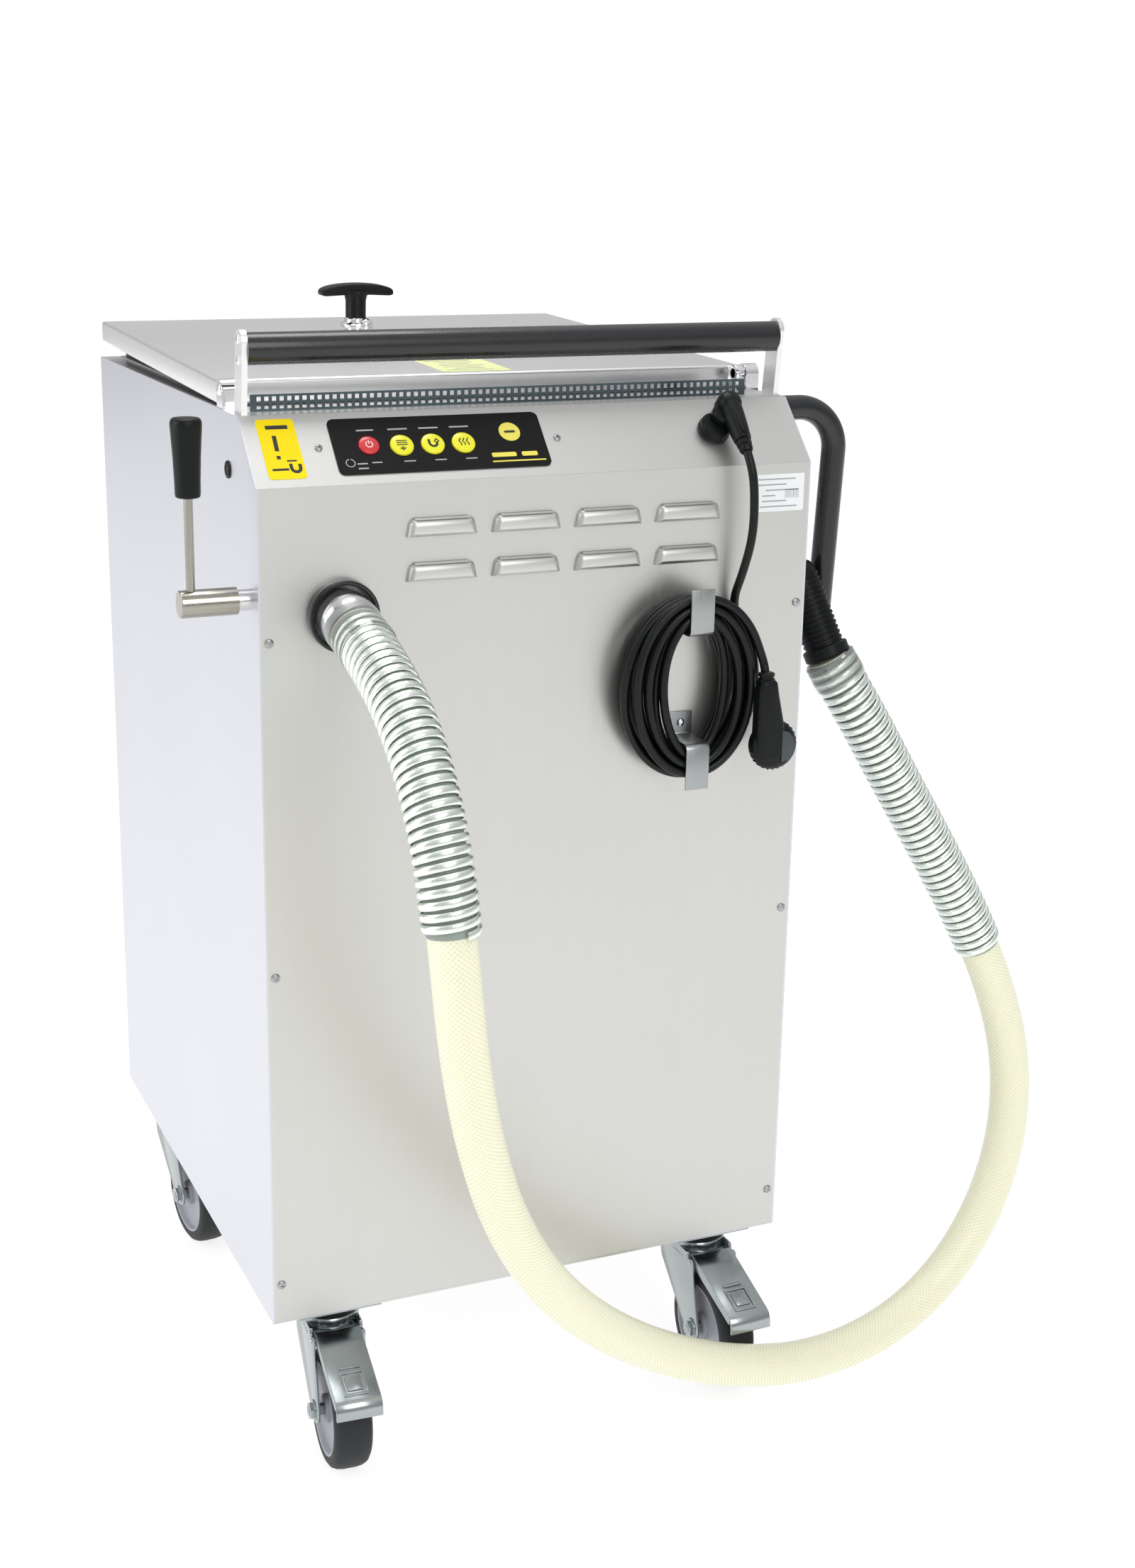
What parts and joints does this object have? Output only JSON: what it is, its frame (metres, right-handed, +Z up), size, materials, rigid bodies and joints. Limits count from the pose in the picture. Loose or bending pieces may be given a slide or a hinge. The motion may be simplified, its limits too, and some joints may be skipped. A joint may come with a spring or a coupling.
{
  "type": "oil filter trolley",
  "caption": "Stainless oil filter trolley on swivel castors: hinged lid over a tank and basket, pump, push bar, coiled mains lead and a front hose with a stowed lance.",
  "frame": {"origin": "on the floor under the centre of the cabinet", "axes": "+Z up, -Y to the front panel, +X to the lance's side"},
  "size_m": [0.7764, 0.7368, 0.9339],
  "materials": {
    "stainless": "satin",
    "bright_steel": "polished",
    "zinc": "zinc plated",
    "tyre": "matte",
    "black_grip": "satin",
    "black_cable": "semi gloss",
    "hose": "translucent cream",
    "spring_steel": "flat wire spring",
    "clear_sleeve": "clear",
    "overlay": "gloss",
    "red_button": "gloss",
    "yellow_button": "gloss",
    "cast": "cast",
    "motor_paint": "satin",
    "pipe": "satin",
    "holder": "matte"
  },
  "bodies": {
    "cabinet": {"back_panel": "stainless", "base_plate": "zinc", "castor_plates": "zinc", "control_fascia": "stainless", "control_overlay": "overlay", "cord_hooks": "bright_steel", "filter_basket": "stainless", "front_panel": "stainless", "handle_uprights": "stainless", "hinge_brackets": "stainless", "hose_coupling": "clear_sleeve", "hose_hook": "black_grip", "inlet_plug": "black_cable", "lance_grip": "black_grip", "lance_holders": "holder", "lance_hose_guard": "spring_steel", "lance_tube": "stainless", "left_panel": "stainless", "lever_bush": "bright_steel", "mains_cord": "black_cable", "mains_cord_coil": "black_cable", "mains_plug": "black_cable", "oil_hose": "hose", "oil_pipes": "pipe", "oil_tank": "stainless", "outlet_hose_guard": "spring_steel", "panel_fixings": "bright_steel", "port_ring": "black_grip", "power_inlet": "black_cable", "pump_body": "cast", "pump_motor": "motor_paint", "push_bar": "black_grip", "right_panel": "stainless", "selector_valve": "cast", "top_deck": "stainless", "vent_strip": "stainless"},
    "lid": {"lid": "stainless", "lid_gasket": "black_cable", "lid_handle_boss": "bright_steel", "lid_handle": "black_grip"},
    "valve_lever": {"valve_lever": "bright_steel", "lever_grip": "black_grip"},
    "power_button": {"power_button": "red_button"},
    "drain_button": {"drain_button": "yellow_button"},
    "return_button": {"return_button": "yellow_button"},
    "heat_button": {"heat_button": "yellow_button"},
    "front_left_fork": {"front_left_fork": "zinc", "front_left_axle": "zinc"},
    "front_left_wheel": {"front_left_wheel": "tyre"},
    "front_left_brake_pedal": {"front_left_brake_pedal": "zinc"},
    "front_right_fork": {"front_right_fork": "zinc", "front_right_axle": "zinc"},
    "front_right_wheel": {"front_right_wheel": "tyre"},
    "front_right_brake_pedal": {"front_right_brake_pedal": "zinc"},
    "rear_left_fork": {"rear_left_fork": "zinc", "rear_left_axle": "zinc"},
    "rear_left_wheel": {"rear_left_wheel": "tyre"},
    "rear_right_fork": {"rear_right_fork": "zinc", "rear_right_axle": "zinc"},
    "rear_right_wheel": {"rear_right_wheel": "tyre"}
  },
  "joints": [
    {"name": "lid_hinge", "type": "hinge", "parent": "cabinet", "child": "lid", "pos_m": [0, -0.158, 0.875], "axis": [1, 0, 0], "range_deg": [0, 115]},
    {"name": "valve_turn", "type": "hinge", "parent": "cabinet", "child": "valve_lever", "pos_m": [-0.262, -0.236, 0.729], "axis": [1, 0, 0], "range_deg": [0, 90]},
    {"name": "power_button_press", "type": "slide", "parent": "cabinet", "child": "power_button", "axis": [0, 0.7185, -0.6955], "range_m": [0, 0.001], "stiffness_N_per_m": 400},
    {"name": "drain_button_press", "type": "slide", "parent": "cabinet", "child": "drain_button", "axis": [0, 0.7185, -0.6955], "range_m": [0, 0.001], "stiffness_N_per_m": 400},
    {"name": "return_button_press", "type": "slide", "parent": "cabinet", "child": "return_button", "axis": [0, 0.7185, -0.6955], "range_m": [0, 0.001], "stiffness_N_per_m": 400},
    {"name": "heat_button_press", "type": "slide", "parent": "cabinet", "child": "heat_button", "axis": [0, 0.7185, -0.6955], "range_m": [0, 0.001], "stiffness_N_per_m": 400},
    {"name": "front_left_swivel", "type": "hinge", "parent": "cabinet", "child": "front_left_fork", "pos_m": [-0.172, -0.2185, 0.12], "axis": [0, 0, 1], "continuous": true},
    {"name": "front_left_spin", "type": "hinge", "parent": "front_left_fork", "child": "front_left_wheel", "pos_m": [-0.17479, -0.2584, 0.05], "axis": [0.9976, -0.0698, 0], "continuous": true},
    {"name": "front_left_brake", "type": "hinge", "parent": "front_left_fork", "child": "front_left_brake_pedal", "pos_m": [-0.1743, -0.25142, 0.11], "axis": [0.9976, -0.0698, 0], "range_deg": [0, 6]},
    {"name": "front_right_swivel", "type": "hinge", "parent": "cabinet", "child": "front_right_fork", "pos_m": [0.172, -0.2185, 0.12], "axis": [0, 0, 1], "continuous": true},
    {"name": "front_right_spin", "type": "hinge", "parent": "front_right_fork", "child": "front_right_wheel", "pos_m": [0.1727, -0.25849, 0.05], "axis": [0.9998, 0.0175, 0], "continuous": true},
    {"name": "front_right_brake", "type": "hinge", "parent": "front_right_fork", "child": "front_right_brake_pedal", "pos_m": [0.17258, -0.2515, 0.11], "axis": [0.9998, 0.0175, 0], "range_deg": [0, 6]},
    {"name": "rear_left_swivel", "type": "hinge", "parent": "cabinet", "child": "rear_left_fork", "pos_m": [-0.19, 0.1925, 0.12], "axis": [0, 0, 1], "continuous": true},
    {"name": "rear_left_spin", "type": "hinge", "parent": "rear_left_fork", "child": "rear_left_wheel", "pos_m": [-0.18582, 0.15272, 0.05], "axis": [0.9945, 0.1045, 0], "continuous": true},
    {"name": "rear_right_swivel", "type": "hinge", "parent": "cabinet", "child": "rear_right_fork", "pos_m": [0.19, 0.1925, 0.12], "axis": [0, 0, 1], "continuous": true},
    {"name": "rear_right_spin", "type": "hinge", "parent": "rear_right_fork", "child": "rear_right_wheel", "pos_m": [0.18443, 0.15289, 0.05], "axis": [0.9903, -0.1392, 0], "continuous": true}
  ]
}
